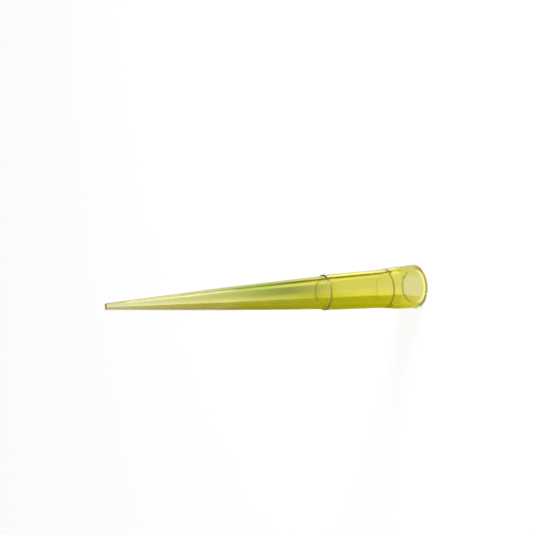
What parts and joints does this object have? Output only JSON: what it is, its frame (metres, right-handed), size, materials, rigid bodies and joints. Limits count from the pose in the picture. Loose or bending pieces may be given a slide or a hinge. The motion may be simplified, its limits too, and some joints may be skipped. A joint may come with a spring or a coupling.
{
  "type": "pipette tip",
  "caption": "Yellow conical pipette tip, open at both ends, with a thin ring round it, a flared collar and a sealing band inside the mouth.",
  "frame": {"origin": "middle of the mouth, on the floor that the tip stands on", "axes": "+Z along the tip's own axis, up from the mouth to the small end"},
  "size_m": [0.0072, 0.0072, 0.051],
  "materials": {
    "tip_plastic": "clear yellow polypropylene, smooth moulded gloss"
  },
  "bodies": {
    "root": {"pipette_tip": "tip_plastic"}
  },
  "joints": []
}
